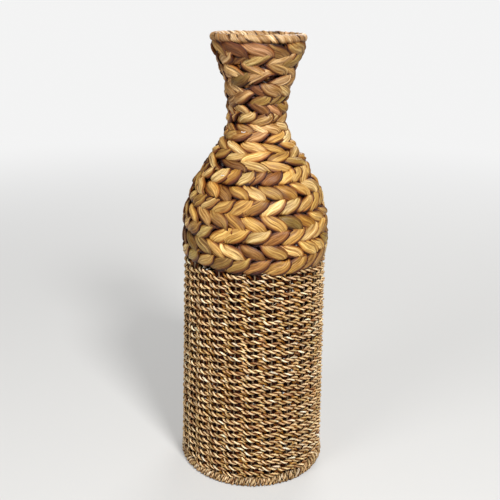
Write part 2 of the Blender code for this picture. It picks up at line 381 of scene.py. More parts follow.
def fibre_material(name, streak, fine, contrast, roughness, gloss, relief, warm):
    """Plant fibre: colour from the strand, streaked and grooved along its length."""
    finish = bpy.data.materials.new(name)
    nodes = Nodes(finish)
    tone = nodes.add("VertexColor", "Color", layer_name="tone")
    place = nodes.add("UVMap", "UV", uv_map="fibre")

    def grain(size, detail):
        scaled = nodes.add("Mapping", "Vector", {"Vector": place, "Scale": (1 / size[0], 1 / size[1], 1)})
        inputs = {"Vector": scaled, "Scale": 1.0, "Detail": detail, "Roughness": GRAIN_ROUGHNESS}
        return nodes.add("TexNoise", "Fac", inputs, noise_dimensions="2D")

    def spread(value, low, high):
        return nodes.remap(value, GRAIN_LOW, GRAIN_HIGH, low, high)

    broad = grain(streak, BROAD_DETAIL)
    thin = grain(fine, FINE_DETAIL)
    shade = nodes.maths("MULTIPLY", spread(broad, 1 - contrast, 1 + BROAD_LIGHTER * contrast),
                        spread(thin, 1 - FINE_CONTRAST * contrast, 1 + FINE_CONTRAST * contrast))
    warmth = nodes.remap(broad, WARM_BELOW, PLAIN_ABOVE, 0.0, 1.0)
    tint = nodes.add("Mix", "Result", {"Factor": warmth, "A": (*warm, 1), "B": (1, 1, 1, 1)},
                     data_type="RGBA", blend_type="MIX")
    tinted = nodes.add("Mix", "Result", {"Factor": 1.0, "A": tone, "B": tint},
                       data_type="RGBA", blend_type="MULTIPLY")
    shaded = nodes.add("VectorMath", "Vector", {0: tinted, "Scale": shade}, operation="SCALE")
    height = nodes.maths("ADD", nodes.maths("MULTIPLY", broad, BROAD_RELIEF),
                         nodes.maths("MULTIPLY", thin, FINE_RELIEF))
    nodes.feed_named("Principled BSDF", {
        "Base Color": shaded,
        "Roughness": spread(thin, roughness - SMOOTHER, roughness + ROUGHER),
        "Specular IOR Level": gloss,
        "Normal": nodes.add("Bump", "Normal", {"Strength": 1.0, "Distance": relief, "Height": height}),
    })
    return finish


def wire_material(name, dark, pale):
    """Wire with an uneven coating between two colours."""
    finish = bpy.data.materials.new(name)
    nodes = Nodes(finish)
    place = nodes.add("TexCoord", "Object")
    noise = nodes.add("TexNoise", "Fac", {
        "Vector": place, "Scale": WIRE_NOISE_SCALE, "Detail": WIRE_NOISE_DETAIL})
    ramp = nodes.add("ValToRGB", "Color", {"Fac": noise})
    for element, stop, colour in zip(ramp.node.color_ramp.elements, WIRE_STOPS, (dark, pale)):
        element.position = stop
        element.color = (*colour, 1)
    nodes.feed_named("Principled BSDF", {
        "Base Color": ramp, "Metallic": WIRE_METALLIC, "Roughness": WIRE_ROUGHNESS})
    return finish


# Colours
CREAM = linear(252, 232, 196)
STRAW = linear(232, 202, 154)
KHAKI = linear(206, 176, 124)
OLIVE = linear(182, 154, 98)
PINK_BROWN = linear(206, 168, 118)
BROWN = linear(162, 120, 80)
STAKE_BROWN = linear(170, 136, 90)
SEAGRASS_TONES = np.array([CREAM, STRAW, KHAKI, OLIVE, PINK_BROWN, BROWN, STRAW, KHAKI])
SEAGRASS_SHARES = (0.12, 0.27, 0.17, 0.07, 0.09, 0.08, 0.14, 0.06)

GOLD = linear(222, 174, 84)
PALE_GOLD = linear(250, 216, 140)
AMBER = linear(190, 130, 40)
GREYED = linear(190, 147, 92)
HYACINTH_BROWN = linear(146, 94, 38)
HYACINTH_OLIVE = linear(150, 121, 48)
RED_BROWN = linear(150, 84, 42)
# Brown of the painted shade in creases, folds and slits
PAINTED_SHADE_BROWN = linear(98, 54, 18)
RIM_PALE = linear(224, 198, 158)
RIM_TAN = linear(180, 144, 98)
RIM_ROSE = linear(200, 160, 130)
WIRE_PALE = linear(205, 198, 184)
WIRE_WHITE = linear(235, 225, 215)

# Powers of a shade in red, green and blue, so that darker fibre is warmer, and each fibre's own cast
WARM_SHADE = np.array([0.95, 1.65, 2.90])
DULL_SHADE = np.array([0.95, 1.15, 1.60])
ROPE_SHADE = np.array([0.74, 1.22, 2.70])
SEAGRASS_GLOW = np.array([1.14, 1.18, 1.34])
HYACINTH_GLOW = np.array([0.97, 1.09, 1.50])

# Seagrass rope of two plies
Rope = namedtuple("Rope", "radius offset pitch girth brightness")
WEAVER = Rope(0.00162, 0.00138, 0.0188, FULL_TURN * 0.00162 * 1.2, 1.0)
WHIPPING = Rope(0.00172, 0.00098, 0.0125, 0.0084, 0.74)
BASE_ROPE = Rope(0.00160, 0.0013, 0.015, 0.0092, 0.8)
PLY_SIDES = 6
PLY_BLADES = 3
PLY_FLATNESS = 1.05
BLADE_LENGTH = 0.06
BLADE_BLEND = (0.3, 0.7)
RIDGE_LENGTH = 0.012
RIDGE_DEPTH = 0.10
# Painted shade in the groove between the plies: the least light kept there, and where it fades out round a
# ply
GROOVE_SHADE_DARKEST = 0.05
GROOVE_SHADE_EDGES = (-0.75, 0.70)

# Drifts along a ply: length between knots, lowest and highest value
TWIST_DRIFT = (0.05, -0.5, 0.5)
SIZE_DRIFT = (0.011, 0.84, 1.14)
OFFSET_DRIFT = (0.03, 0.9, 1.15)
LIGHT_DRIFT = (0.015, 0.78, 1.28)


def blade_tones(rng, places):
    """Colour along one blade, drifting between the seagrass tones."""
    count = int(places.max() / BLADE_LENGTH) + 3
    picks = SEAGRASS_TONES[rng.choice(len(SEAGRASS_TONES), count, p=SEAGRASS_SHARES)]
    cell = np.floor(places / BLADE_LENGTH).astype(int)
    share = smooth(*BLADE_BLEND, places / BLADE_LENGTH - cell)[:, None]
    return picks[cell] * (1 - share) + picks[cell + 1] * share


def rope_plies(rng, path, normal, rope, squeeze=1.0):
    """Two plies twisted together along a path: rings, tones and middle line of each."""
    tangent = unit(np.gradient(path, axis=0))
    normal = unit(normal - (normal * tangent).sum(axis=1, keepdims=True) * tangent)
    upward = np.cross(normal, tangent)
    place = lengths_along(path)
    turn = -FULL_TURN * place / rope.pitch + drift(rng, place, *TWIST_DRIFT)
    side = np.arange(PLY_SIDES)
    around = (FULL_TURN * side / PLY_SIDES + np.pi)[None, :, None]
    # Painted shade: each ply is darker on its sides and in the groove where it meets the other ply
    groove_shade = GROOVE_SHADE_DARKEST + (1 - GROOVE_SHADE_DARKEST) * smooth(*GROOVE_SHADE_EDGES, np.cos(around))
    ridges = int(place.max() / RIDGE_LENGTH) + 2
    plies = []
    for start in (0.0, np.pi):
        phase = turn + start
        size = rope.radius * drift(rng, place, *SIZE_DRIFT)
        offset = rope.offset * drift(rng, place, *OFFSET_DRIFT)
        away = np.cos(phase)[:, None] * normal + (squeeze * np.sin(phase))[:, None] * upward
        over = -np.sin(phase)[:, None] * normal + (squeeze * np.cos(phase))[:, None] * upward
        centre = path + offset[:, None] * away
        ridge = field(rng, ridges, PLY_SIDES, place[:, None] / RIDGE_LENGTH, side[None])
        reach = (size[:, None] * (1 + RIDGE_DEPTH * ridge))[..., None]
        rings = centre[:, None] + reach * (
            np.cos(around) * away[:, None] + PLY_FLATNESS * np.sin(around) * over[:, None])
        blades = np.stack([blade_tones(rng, place) for _ in range(PLY_BLADES)], axis=1)
        light = drift(rng, place, *LIGHT_DRIFT)[:, None, None]
        tones = blades[:, side * PLY_BLADES // PLY_SIDES] * groove_shade ** ROPE_SHADE * light
        plies.append((rings, tones * rope.brightness * SEAGRASS_GLOW, centre))
    return plies


# Light that a rope keeps behind the wall's surface, and where it starts to lose it
SHELTERED_LIGHT = 0.04
SHELTERED_DEPTHS = (0.0024, -0.0006)
SHELTERED_FACINGS = (-0.0012, 0.0003)


def sheltered(rings, centre):
    """Share of light that outward faces behind the wall's surface keep."""
    reach = np.hypot(rings[..., 0], rings[..., 1])
    depth = reach - outline_radius(rings[..., 2])
    radial = rings[..., :2] / reach[..., None]
    facing = ((rings[..., :2] - centre[:, None, :2]) * radial).sum(axis=-1)
    hidden = smooth(*SHELTERED_DEPTHS, depth) * smooth(*SHELTERED_FACINGS, facing)
    return (1 - (1 - SHELTERED_LIGHT) * hidden)[..., None]


# Weavers: rope steps a turn, swing over and under the uprights, slack, droop and height of the rope
ROPE_STEPS = 348
WEAVE_SWING = 0.0036
SWING_POWER = 0.85
OUT_SLACK = (0.020, -0.0003, 0.0003)
HEIGHT_SLACK = (0.020, -0.00065, 0.00065)
BACK_DROOP = (0.0008, -0.05, -0.6)
ROPE_HEIGHT = 1.04
FRONT_LOWER = (0.12, 0.0, 0.6)
BACK_TALLER = (1.02, 0.0, -0.70)


def make_weavers(finish):
    """Two ropes that climb together, each out where the other is in, in pieces of one turn."""
    climb = 2 * (ROPE_HIGH_Z - ROPE_LOW_Z) / ROPE_ROWS
    turns = ROPE_ROWS / 2
    for number, letter in enumerate("ab"):
        rng = np.random.default_rng(ROPE_SEED + number)
        share = np.arange(int(ROPE_STEPS * turns) + 1) / ROPE_STEPS
        angle = FULL_TURN * (share + 0.5 * number)
        wave = (1 - 2 * number) * np.cos(angle * UPRIGHTS / 2)
        place = share * FULL_TURN * BODY_RADIUS
        out = WEAVE_SWING * bend(wave, SWING_POWER) + drift(rng, place, *OUT_SLACK)
        z = ROPE_LOW_Z + climb * share + drift(rng, place, *HEIGHT_SLACK)
        z = z - step(*BACK_DROOP, wave)
        normal = polar(angle, 1.0, 0 * angle)
        squeeze = ROPE_HEIGHT - step(*FRONT_LOWER, wave) + step(*BACK_TALLER, wave)
        plies = [(rings, tones * sheltered(rings, centre) ** ROPE_SHADE) for rings, tones, centre
                 in rope_plies(rng, wall_point(angle, z, out), normal, WEAVER, squeeze)]
        for piece in range(math.ceil(turns)):
            part = slice(piece * ROPE_STEPS, (piece + 1) * ROPE_STEPS + 1)
            strands = Strands()
            for ply, (rings, tones) in enumerate(plies):
                offset = PLY_SHIFT * ply + PIECE_SHIFT * piece + ROPE_SHIFT * number
                strands.add(rings[part], tones[part], WEAVER.girth, offset=offset)
            dress(strands, f"seagrass_rope_{letter}_{piece + 1:02d}", finish, "seagrass_rope",
                  f"seagrass_weaver_{letter}")


# Hyacinth strips: points a segment, section, and how a strip twists and passes the uprights
SEGMENT_POINTS = {UPRIGHTS: 18, UPRIGHTS // 2: 26}
FRONT_POINTS = 14
BACK_POINTS = 6
FRONT_EVEN, FRONT_GATHERED = 0.45, 0.55
FRONT_POWER = 0.75
BACK_HEIGHT = 0.75
BACK_POWER = 0.5
STRIP_THICKNESS = 0.0068
END_THICKNESS = 0.50
STRIP_STRETCH = 0.66
STRIP_SKEW = 0.42
STRIP_LINGER = 0.42
STRIP_WIDTHS = {1: 1.04, -1: 0.98}
STRIP_CLIMB = 0.50
STRIP_SHIFT = math.radians(1.7)
STRIP_GIRTH = 2.3
SWING_MIDDLE = 0.0004
STRIP_SWING = 0.0040
FRONT_SWING_POWER = 0.75
BACK_SWING = 0.8
LEAF_POWER = 0.75
LEAF_SKEW = 0.14
END_WIDTH = 0.36
WIDTH_SKEW = 0.03
OUTWARD_STEP = 0.001

# What grows towards the neck or in the top row: size, and the row shares where it starts and ends
NECK_END_WIDTH = (0.10, 0.3, 0.6)
NECK_FULLER = (0.14, 0.3, 0.5)
NECK_STEEPER = (0.35, 0.5, 1.0)
TOP_FULLER = (0.40, 0.96, 1.0)
TOP_TIGHTER = (0.6, 0.96, 1.0)

# How the rows sway, and how far the segments of a strip differ
LOOSE_FIRST = 0.8
LOOSE_MORE = 1.3
ROW_SWAY = 0.0009
SWAY_WAVES = (1, 2, 3, 5)
SWAY_RANGE = (0.2, 1.0)
SPREAD_RANGE = (-0.16, 0.24)
PUFF_RANGE = (0.8, 1.25)
LIFT_RANGE = (-0.0006, 0.0012)
SHIFT_RANGE = (-0.0015, 0.0015)
LEAN_RANGE = (-0.45, 0.45)
DRAG_RANGE = (-0.06, 0.06)
END_LIFT_RANGE = (-0.0019, 0.0019)
END_SHIFT_RANGE = (-0.0018, 0.0018)

# Creases, lumps and folds of the skin
CREASES = 4
CREASE_MIDDLE_RANGE = (-0.8, 0.8)
CREASE_SLIDE_RANGE = (-0.3, 0.3)
CREASE_DEPTH_RANGE = (0.0, 1.1)
CREASE_WIDTH_RANGE = (0.06, 0.12)
CREASE_LIMIT = 1.2
CREASE_DEPTH = 0.30
LUMP_CELLS = (2, 16, 3.2)
LUMP_HEIGHT = 0.20
LUMP_WIDTH = 0.05
FOLD_CELLS = (3, 32, 7)
FOLD_HEIGHT = 0.11
FOLD_ABOVE = 0.2

Row = namedtuple("Row", "number z half_turns slant height share sway")
Places = namedtuple("Places", "turn twist segment crossing along")


def strip_rows():
    """Rows from the waist to the rim; each slants the other way from the row below."""
    total = sum(rows for *_, rows in STRIP_BANDS)
    number = 0
    for low, high, half_turns, rows in STRIP_BANDS:
        middles, height = row_places(low, high, rows)
        for z in middles:
            number += 1
            rng = np.random.default_rng(SWAY_SEED + number)
            sway = [(waves, rng.uniform(*SWAY_RANGE) * ROW_SWAY, rng.uniform(0, FULL_TURN))
                    for waves in SWAY_WAVES]
            slant = 1 if number % 2 else -1
            yield Row(number, z, half_turns, slant, height, (number - 1) / (total - 1), sway)


def strip_places(half_turns):
    """Points along a strip: turn, twist, segment, next crossing and place in the segment (-1 to 1)."""
    points = SEGMENT_POINTS[half_turns]
    turn = np.pi * np.arange(half_turns * points) / points
    twist = turn - STRIP_STRETCH * np.sin(turn)
    nearest = np.round(twist / np.pi)
    crossing = np.floor(twist / np.pi).astype(int) % half_turns
    along = (twist - np.pi * nearest) / (np.pi / 2)
    return Places(turn, twist, nearest.astype(int) % half_turns, crossing, along)


def section_shape():
    """Places across a strip (-1 to 1) and the height of its skin there, front first, then the back."""
    front = np.linspace(1, -1, FRONT_POINTS + 1)
    front = FRONT_EVEN * front + FRONT_GATHERED * np.sin(np.pi / 2 * front)
    back = np.sin(np.pi / 2 * np.linspace(-1, 1, BACK_POINTS + 1)[1:-1])
    rise = (1 - front ** 2) ** FRONT_POWER
    sink = -BACK_HEIGHT * (1 - back ** 2) ** BACK_POWER
    return np.concatenate([front, back]), np.concatenate([rise, sink])


def strip_form(rng, row, places):
    """Places of a strip out from the wall, up it and round it, its width and its thickness."""
    _, twist, segment, crossing, q = places
    fade = 1 - q * q
    loose = (LOOSE_FIRST + LOOSE_MORE * row.share) * (1 - step(*TOP_TIGHTER, row.share))

    def differ(limits, index=segment):
        return rng.uniform(*limits, row.half_turns)[index]

    spread = 1 + loose * differ(SPREAD_RANGE)
    puff = differ(PUFF_RANGE)
    lift = loose * differ(LIFT_RANGE)
    shift = loose * differ(SHIFT_RANGE)
    lean = differ(LEAN_RANGE)
    drag = loose * differ(DRAG_RANGE)
    end_lift = loose * differ(END_LIFT_RANGE, crossing) * q * q
    end_shift = differ(END_SHIFT_RANGE, crossing) * q * q
    swing = np.cos(twist - STRIP_SKEW)
    swing = np.where(swing > 0, np.abs(swing) ** FRONT_SWING_POWER, -BACK_SWING * np.abs(swing))
    leaf = np.clip(np.cos(np.pi / 2 * q), 0, 1) ** LEAF_POWER
    leaf = leaf * (1 + (spread - 1) * fade) * (1 + LEAF_SKEW * q)
    fuller = 1 + step(*NECK_FULLER, row.share) + step(*TOP_FULLER, row.share)
    ends = END_WIDTH + step(*NECK_END_WIDTH, row.share)
    width = row.height * STRIP_WIDTHS[row.slant] * fuller
    width = width * (ends - WIDTH_SKEW * np.sin(twist) + (1 - ends) * leaf)
    thickness = STRIP_THICKNESS * (END_THICKNESS + (1 - END_THICKNESS) * leaf) * (1 + (puff - 1) * fade)
    out = SWING_MIDDLE + STRIP_SWING * swing + lift * fade + end_lift
    climb = STRIP_CLIMB * row.height * (1 + step(*NECK_STEEPER, row.share))
    along = row.slant * climb * (np.sin(twist) + lean * fade * q) + shift * fade + end_shift
    drag = (drag * fade + row.slant * STRIP_SHIFT) * UPRIGHTS / row.half_turns
    return out, along, drag, width[:, None], thickness[:, None]


def strip_route(row, letter, places, out, along, drag):
    """Middle line of a strip, the wall behind it, and its outward, normal and upward directions."""
    phase = 0.0 if letter == "a" else FULL_TURN / row.half_turns
    angle = 2 * places.turn / row.half_turns + phase + drag
    z = row.z + sum(size * np.cos(waves * angle + start) for waves, size, start in row.sway)
    path = wall_point(angle, z, out, along)
    outward = unit(wall_point(angle, z, out + OUTWARD_STEP, along) - path)
    tangent = ring_tangent(path)
    upward = unit(np.cross(outward, tangent))
    normal = np.cross(tangent, upward)
    roll = (row.slant * (places.twist - STRIP_LINGER * np.sin(2 * places.twist)))[:, None]
    c, s = np.cos(roll), np.sin(roll)
    return path, wall_point(angle, z), outward, normal * c + upward * s, upward * c - normal * s


def skin_field(rng, row, places, across, cells, columns, width):
    """Random value over the skin, with cells along each segment and a width in columns."""
    steps = places.twist[:, None] / np.pi
    return field(rng, row.half_turns * cells, columns, steps * cells, (across[None] + 1) * width)


def strip_skin(rng, row, places, across, height):
    """Depth of the sharp creases along each segment, and the lumps and folds of the skin."""
    q = places.along[:, None]
    crease = np.zeros((len(q), len(across)))

    def differ(limits):
        return rng.uniform(*limits, row.half_turns)[places.segment][:, None]

    for _ in range(CREASES):
        middle = differ(CREASE_MIDDLE_RANGE)
        slide = differ(CREASE_SLIDE_RANGE)
        depth = differ(CREASE_DEPTH_RANGE)
        gap = (across[None] - middle - slide * q) / differ(CREASE_WIDTH_RANGE)
        crease += depth * np.exp(-gap * gap) * (1 - q ** 4)
    crease = np.clip(crease, 0, CREASE_LIMIT) * (height > 0)[None]
    lumps = skin_field(rng, row, places, across, *LUMP_CELLS)
    folds = skin_field(rng, row, places, across, *FOLD_CELLS)
    return crease, lumps, folds


# Colours of the segments: greyer and odder towards the neck
GREY_ROWS = (0.35, 0.75)
GREY_RANGE = (0.3, 1.0)
PALE_POWER = 1.2
AMBER_RANGE = (0, 0.75)
ODD_FIRST, ODD_MORE = 0.20, 0.22
ODD_RANGE = (0.4, 0.9)
ODD_TONES = ((0.45, HYACINTH_OLIVE), (0.8, HYACINTH_BROWN), (1.0, RED_BROWN))
LIGHT_RANGE = (0.41, 1.06)

# Colours of the skin: blend of neighbours, streaks and patches; painted shade in creases and folds, and a
# painted highlight on the crest with painted shade towards the edges
SEAM = (0.5, 0.75, 1.0)
STREAK_CELLS = (1, 48, 9)
STREAK_STRENGTH = 0.20
PATCH_CELLS = (2, 8, 1.5)
PATCH_STRENGTH = 0.16
CREASE_SHADE = 0.60
FOLD_SHADE = (0.22, 0.1, 0.8)
DARKEST = 0.85
EDGE_LIGHT, CREST_LIGHT = 0.74, 0.42

# Shade of a segment's start and end, of its lower and upper edge, and of skin deep in the weave
START_SHADE = (0.60, 0.50, 1.0)
END_SHADE = (0.35, 0.65, 1.0)
LOWER_EDGE, UPPER_EDGE = (0.90, 0.35), (0.62, 0.62)
DEEP_LIGHT = 0.05
SHALLOW_LIGHT = (0.95, 0.0010, 0.0060)
TURN_DEPTH = 0.0010
BACK_SHADE = (0.40, 0.0003, -0.0008)


def segment_tones(rng, count, height_share):
    """Colour of each segment: golden below, greyer and more mixed towards the neck."""
    grey = smooth(*GREY_ROWS, height_share)
    odd = ODD_FIRST + ODD_MORE * grey
    tones = []
    for _ in range(count):
        base = toward(GOLD, PALE_GOLD, rng.uniform(0, 1) ** PALE_POWER)
        base = toward(base, AMBER, rng.uniform(*AMBER_RANGE))
        base = toward(base, GREYED, grey * rng.uniform(*GREY_RANGE))
        pick = rng.uniform()
        for limit, other in ODD_TONES:
            if pick < odd * limit:
                base = toward(base, other, rng.uniform(*ODD_RANGE))
                break
        tones.append(base * HYACINTH_GLOW * rng.uniform(*LIGHT_RANGE) ** DULL_SHADE)
    return np.array(tones)


def strip_tones(rng, row, places, across, height, crease, folds):
    """Colour of the skin: each segment's own, streaked, with painted shade in dark creases and folds and a
    painted highlight on the crest.
    """
    own = segment_tones(rng, row.half_turns, row.share)
    after = np.roll(own, -1, axis=0)
    before = np.roll(own, 1, axis=0)
    k, q = places.segment, places.along[:, None]
    ahead, back = step(*SEAM, q), step(*SEAM, -q)
    base = own[k] * (1 - ahead - back) + after[k] * ahead + before[k] * back
    streak = STREAK_STRENGTH * skin_field(rng, row, places, across, *STREAK_CELLS)
    patch = PATCH_STRENGTH * skin_field(rng, row, places, across, *PATCH_CELLS)
    light = 1 + streak + patch
    tones = base[:, None] * light[..., None] ** DULL_SHADE
    # Painted shade: creases and sunken folds are darkened towards a brown
    dark = np.clip(CREASE_SHADE * crease + step(*FOLD_SHADE, -folds), 0, DARKEST)
    tones = toward(tones, PAINTED_SHADE_BROWN, dark[..., None])
    # Painted highlight along the crest of the skin, with painted shade towards its edges
    return tones * (EDGE_LIGHT + CREST_LIGHT * np.clip(height, 0, 1))[None, :, None] ** DULL_SHADE


def strip_shade(q, across, depth, facing):
    """Share of light: less at a segment's ends, along its edges and between its neighbours."""
    ends = 1 - step(*START_SHADE, -q) - step(*END_SHADE, q)
    darkest, start = np.where(across[:, None] < 0, LOWER_EDGE, UPPER_EDGE).T
    edges = 1 - darkest * smooth(start, 1.0, np.abs(across))
    # Darker the deeper the skin lies, on either side of the wall
    light = DEEP_LIGHT + step(*SHALLOW_LIGHT, depth * np.tanh(facing / TURN_DEPTH))
    return ends[:, None] * edges[None] * light * (1 - step(*BACK_SHADE, facing))


def make_strip(rng, row, letter):
    """One strip of a twined row, once round the vase: rings and tones."""
    places = strip_places(row.half_turns)
    out, along, drag, width, thickness = strip_form(rng, row, places)
    path, wall, outward, normal, upward = strip_route(row, letter, places, out, along, drag)
    across, height = section_shape()
    crease, lumps, folds = strip_skin(rng, row, places, across, height)
    skin = height[None] * (1 + LUMP_HEIGHT * lumps) + FOLD_HEIGHT * folds * (height > FOLD_ABOVE)[None]
    skin = skin - CREASE_DEPTH * crease
    sideways = across[None] * (1 + LUMP_WIDTH * lumps) * width / 2
    rings = (path[:, None] + upward[:, None] * sideways[..., None]
             + normal[:, None] * (skin * thickness / 2)[..., None])
    tones = strip_tones(rng, row, places, across, height, crease, folds)
    depth = ((rings - wall[:, None]) * outward[:, None]).sum(axis=-1)
    facing = ((rings - path[:, None]) * outward[:, None]).sum(axis=-1)
    shade = strip_shade(places.along, across, depth, facing)
    return rings, tones * shade[..., None] ** WARM_SHADE


def make_strips(finish):
    for row in strip_rows():
        for twin, letter in enumerate("ab"):
            rng = np.random.default_rng(STRIP_SEED + 10 * row.number + twin)
            rings, tones = make_strip(rng, row, letter)
            strands = Strands()
            strands.add(rings, tones, STRIP_GIRTH * row.height, closed=True,
                        offset=ROW_SHIFT * row.number + TWIN_SHIFT * twin)
            dress(strands, f"hyacinth_strip_{row.number:02d}{letter}", finish, "water_hyacinth",
                  f"hyacinth_row_{row.number:02d}{letter}")


# Rim binding
RIM_WRAPS = 31
RIM_STARTS = 2
RIM_STEPS = 18
RIM_SIDES = 28
RIM_TUBE_RADIUS = 0.0048
RIM_TUBE_GIRTH = 0.034
RIM_WRAP_WIDTH = 0.0126
RIM_WOBBLE = 0.30
RIM_BULGE = 0.0004
RIM_BULGE_RANGE = (0.6, 1.3)
RIM_BULGE_POWER = 5
RIM_OVERLAP = 0.0009
RIM_FOLD_HEIGHT = 0.00022
RIM_FOLD_CELLS = (3, 10, 5)

# Colours of the rim: tones and streaks of a wrap; painted shade along its edges, on its underside and in its
# folds, and dark painted shade in slits where it gapes
RIM_TAN_SHARE, RIM_ROSE_SHARE = 0.7, 0.5
RIM_STREAK = 0.22
RIM_STREAK_CELLS = (2, 24, 12)
RIM_LIGHT_RANGE = (0.50, 1.12)
RIM_EDGE_SHADE = (0.24, 0.55, 1.0)
RIM_UNDERSIDE_SHADE = (0.36, -0.1, -0.95)
RIM_FOLD = (0.35, 0.3, 0.9)
SLIT_CELLS = (1, 5, 5)
SLIT_MIDDLE, SLIT_SPREAD = 0.21, 0.42
SLIT_LIMITS = (0.02, 0.5)
SLIT_CORE = 0.4
SLIT_FAINT = 0.35
SLIT_STRONGER = (0.65, 0.06, 0.22)
SLIT_LAP = (0.5, 0.97, 1.0)
SLIT_SHADE_TONE = 0.30 * PAINTED_SHADE_BROWN
SLIT_SHADE_SHARE = 0.97


def wrap_field(rng, along, across, cells, columns, width):
    """Random value over the rim, with cells along each wrap and a width in columns."""
    return field(rng, RIM_WRAPS * cells, columns, along * cells, across * width)


def rim_tones(rng, number, share, along, psi, folds):
    """Colour of the rim's wraps: pale, streaked, with painted shade at the edges, underside and folds, and
    dark painted shade in slits where a wrap gapes.
    """
    mix = rng.uniform(0, 1, (RIM_WRAPS, 2))[number]
    tones = (RIM_PALE + (RIM_TAN - RIM_PALE) * (RIM_TAN_SHARE * mix[..., :1])
             + (RIM_ROSE - RIM_PALE) * (RIM_ROSE_SHARE * mix[..., 1:]))
    tones = tones * (1 + RIM_STREAK * wrap_field(rng, along, share, *RIM_STREAK_CELLS)[..., None])
    tones = tones * rng.uniform(*RIM_LIGHT_RANGE, RIM_WRAPS)[number][..., None] ** DULL_SHADE
    gape = SLIT_MIDDLE + SLIT_SPREAD * wrap_field(rng, along, psi / FULL_TURN + 0.5, *SLIT_CELLS)
    gape = np.clip(gape, *SLIT_LIMITS)
    # Painted shade: a dark slit where a wrap gapes and where it laps over the next
    slit = smooth(gape, SLIT_CORE * gape, share) * (SLIT_FAINT + step(*SLIT_STRONGER, gape))
    slit = np.clip(slit + step(*SLIT_LAP, share), 0, 1)[..., None]
    # Painted shade along each wrap's edges and on the rim's underside
    light = 1 - step(*RIM_EDGE_SHADE, np.abs(2 * share - 1)) - step(*RIM_UNDERSIDE_SHADE, np.sin(psi))
    tones = toward(tones * light[..., None] ** WARM_SHADE, SLIT_SHADE_TONE, SLIT_SHADE_SHARE * slit)
    # Painted shade in sunken folds
    return toward(tones, PAINTED_SHADE_BROWN, step(*RIM_FOLD, -folds)[..., None])


def make_rim(finish):
    """Hyacinth strip wound slantwise round the rim; each wrap overlaps the next."""
    rng = np.random.default_rng(RIM_SEED)
    n, m = RIM_WRAPS * RIM_STEPS, RIM_SIDES
    theta = FULL_TURN * np.arange(n)[:, None] / n
    psi = FULL_TURN * (np.arange(m)[None] / m - 0.25)
    wobble = RIM_WOBBLE * field(rng, RIM_WRAPS, 1, theta / FULL_TURN * RIM_WRAPS, 0 * psi)
    winding = RIM_WRAPS * theta / FULL_TURN + RIM_STARTS * psi / FULL_TURN + wobble
    wrap = np.floor(winding)
    share = winding - wrap
    number = wrap.astype(int) % RIM_WRAPS
    along = wrap - psi / FULL_TURN
    puff = rng.uniform(*RIM_BULGE_RANGE, RIM_WRAPS)[number]
    body = RIM_BULGE * puff * (1 - np.abs(2 * share - 1) ** RIM_BULGE_POWER) + RIM_OVERLAP * (share - 0.5)
    folds = wrap_field(rng, along, share, *RIM_FOLD_CELLS)
    radius = RIM_TUBE_RADIUS + body + RIM_FOLD_HEIGHT * folds
    out = RIM_RADIUS + radius * np.cos(psi)
    height = RIM_RING_Z + radius * np.sin(psi)
    rings = polar(theta, out, height)
    tones = rim_tones(rng, number, share, along, psi, folds)
    i, j = np.meshgrid(np.arange(n + 1), np.arange(m + 1), indexing="ij")
    grain = np.stack([(RIM_WRAPS * i / n + RIM_STARTS * j / m) * RIM_WRAP_WIDTH,
                      RIM_PLACE + RIM_TUBE_GIRTH * j / m], axis=-1)
    strands = Strands()
    strands.add(rings, tones, FULL_TURN * RIM_TUBE_RADIUS, closed=True, grain=grain)
    dress(strands, "rim_binding", finish, "water_hyacinth", "rim_wrap")


# Foot whipping
FOOT_WRAPS = 124
FOOT_WRAP_STEPS = 20
FOOT_WRAP_REACH = 0.0039
FOOT_HALF_WIDTH = 0.0043
FOOT_HALF_HEIGHT = 0.0042
FOOT_RAISE = 0.0010
FOOT_SQUARENESS = 0.7
FOOT_TURN_DRIFT = (0.012, -0.010, 0.010)
FOOT_WIDTH_DRIFT = (0.011, -0.0003, 0.0003)
FOOT_HEIGHT_DRIFT = (0.013, -0.0003, 0.0004)
FLOOR_GAP = 0.0001
FLOOR_LIGHT = 0.35
OFF_FLOOR_LIGHT = (0.65, 0.0, 0.0050)


def make_foot(finish):
    """Thin seagrass rope whipped round the foot ring, with painted shade towards the floor."""
    rng = np.random.default_rng(FOOT_SEED)
    psi = FULL_TURN * np.arange(FOOT_WRAPS * FOOT_WRAP_STEPS + 1) / FOOT_WRAP_STEPS
    place = psi * FOOT_WRAP_REACH
    theta = -psi / FOOT_WRAPS + drift(rng, place, *FOOT_TURN_DRIFT)
    wide = FOOT_HALF_WIDTH + drift(rng, place, *FOOT_WIDTH_DRIFT)
    tall = FOOT_HALF_HEIGHT + drift(rng, place, *FOOT_HEIGHT_DRIFT)
    across, rise = np.cos(psi), np.sin(psi)
    out = FOOT_RADIUS + wide * bend(across, FOOT_SQUARENESS)
    z = FOOT_RING_Z + FOOT_RAISE + tall * bend(rise, FOOT_SQUARENESS)
    path = polar(theta, out, z)
    normal = polar(theta, across, rise)
    strands = Strands()
    for ply, (rings, tones, _) in enumerate(rope_plies(rng, path, normal, WHIPPING)):
        rings[..., 2] = np.maximum(rings[..., 2], FLOOR_GAP)
        # Painted shade: the nearer the rope comes to the floor, the darker it is
        light = FLOOR_LIGHT + step(*OFF_FLOOR_LIGHT, rings[..., 2])
        strands.add(rings, tones * light[..., None] ** WARM_SHADE, WHIPPING.girth,
                    offset=FOOT_PLACE + PLY_SHIFT * ply)
    dress(strands, "foot_whipping", finish, "seagrass_rope", "foot_wrap")


# Base
BASE_STAKES = 17
BASE_TURNS = 17.5
BASE_PITCH = 0.0052
BASE_STEPS = 3600
BASE_EYE = 0.004
BASE_REACH = 0.0895
BASE_LENGTH = 5.1
BASE_Z = 0.0062
BASE_SWING = 0.0009
BASE_SLACK = (0.02, -0.0002, 0.0002)
STAKE_Z = 0.0060
STAKE_RADIUS = 0.0011
STAKE_GIRTH = 0.0069
STAKE_INNER, STAKE_OUTER = 0.002, 0.0915
STAKE_POINTS = 12
STAKE_SIDES = 6


